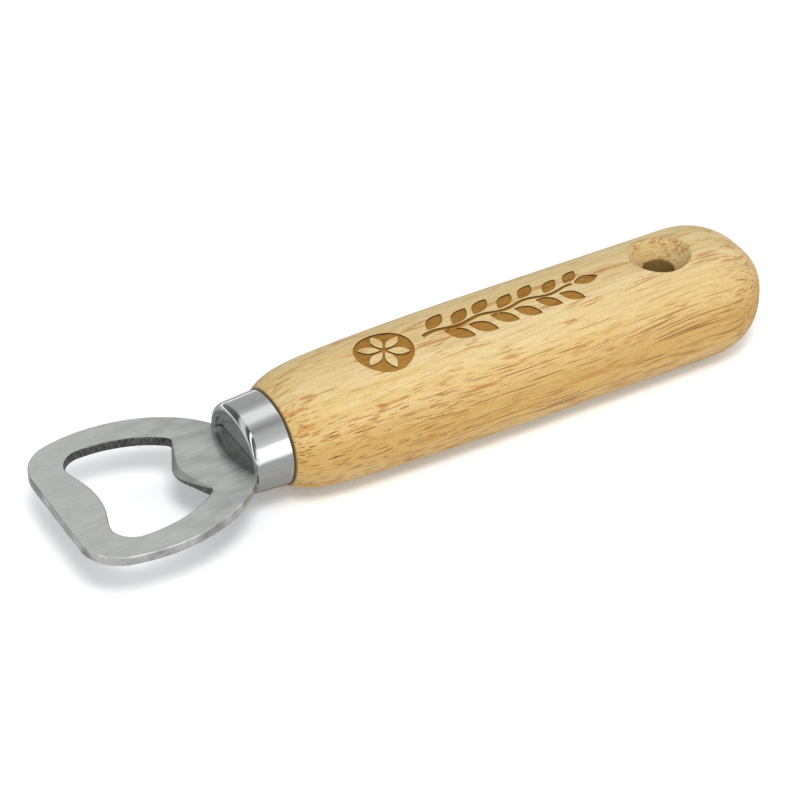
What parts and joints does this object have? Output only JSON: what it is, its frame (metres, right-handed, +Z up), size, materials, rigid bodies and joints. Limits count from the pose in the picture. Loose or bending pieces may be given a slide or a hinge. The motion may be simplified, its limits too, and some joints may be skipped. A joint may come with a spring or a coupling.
{
  "type": "bottle opener",
  "caption": "Hand-held crown-cap opener: a flat steel head with a lip and tooth, a polished ferrule and a rounded wooden handle with a countersunk hanging hole.",
  "frame": {"origin": "centre of the bounding box's base, on the surface that the handle rests on", "axes": "+X runs from the steel head to the handle's butt, +Z is up, square to the flat head, and +Y runs across"},
  "size_m": [0.157, 0.04, 0.0248],
  "materials": {
    "brushed_head_steel": "fine brushed satin, darker cut edges",
    "polished_ferrule_steel": "bright polished",
    "handle_wood": "pale open-pored hardwood, sanded, thin satin lacquer",
    "cured_adhesive": "cured resin, hidden in the handle"
  },
  "bodies": {
    "root": {"opener_head": "brushed_head_steel", "ferrule": "polished_ferrule_steel", "handle": "handle_wood", "tang_adhesive": "cured_adhesive"}
  },
  "joints": []
}
